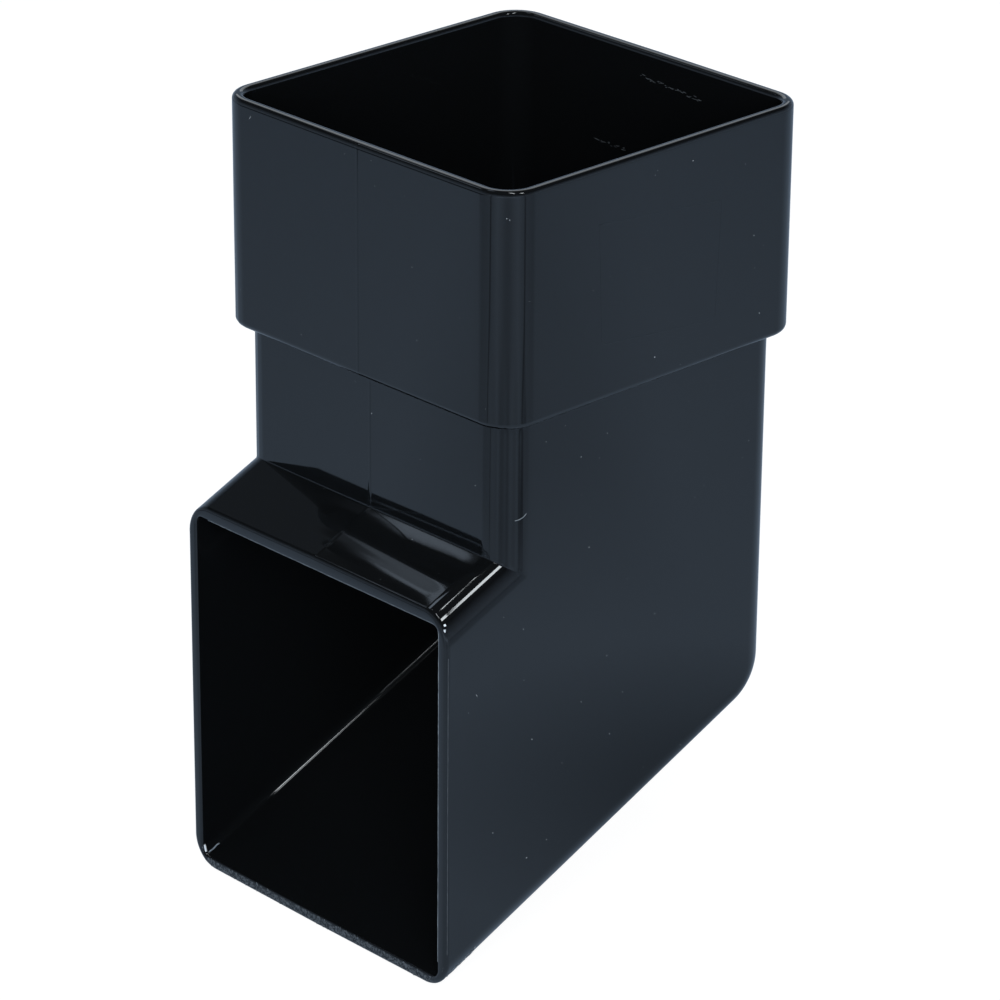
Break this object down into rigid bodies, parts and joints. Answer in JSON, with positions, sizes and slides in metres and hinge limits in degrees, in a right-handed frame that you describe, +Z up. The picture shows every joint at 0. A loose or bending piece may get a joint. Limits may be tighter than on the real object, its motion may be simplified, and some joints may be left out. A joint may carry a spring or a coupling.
{
  "type": "downpipe shoe",
  "caption": "Square rainwater downpipe shoe in gloss black plastic: a socket takes the pipe's end, and a sloping outlet with an upright mouth throws the water clear of the wall.",
  "frame": {"origin": "on the pipe's axis, at the stop inside the socket where the pipe's end rests", "axes": "+Z up along the pipe's axis, out of the socket; the mouth faces -Y, away from the wall; X is across"},
  "size_m": [0.0702, 0.0807, 0.1408],
  "materials": {
    "gloss_upvc": "moulded uPVC, black, high gloss"
  },
  "bodies": {
    "root": {"downpipe_shoe": "gloss_upvc"}
  },
  "joints": []
}
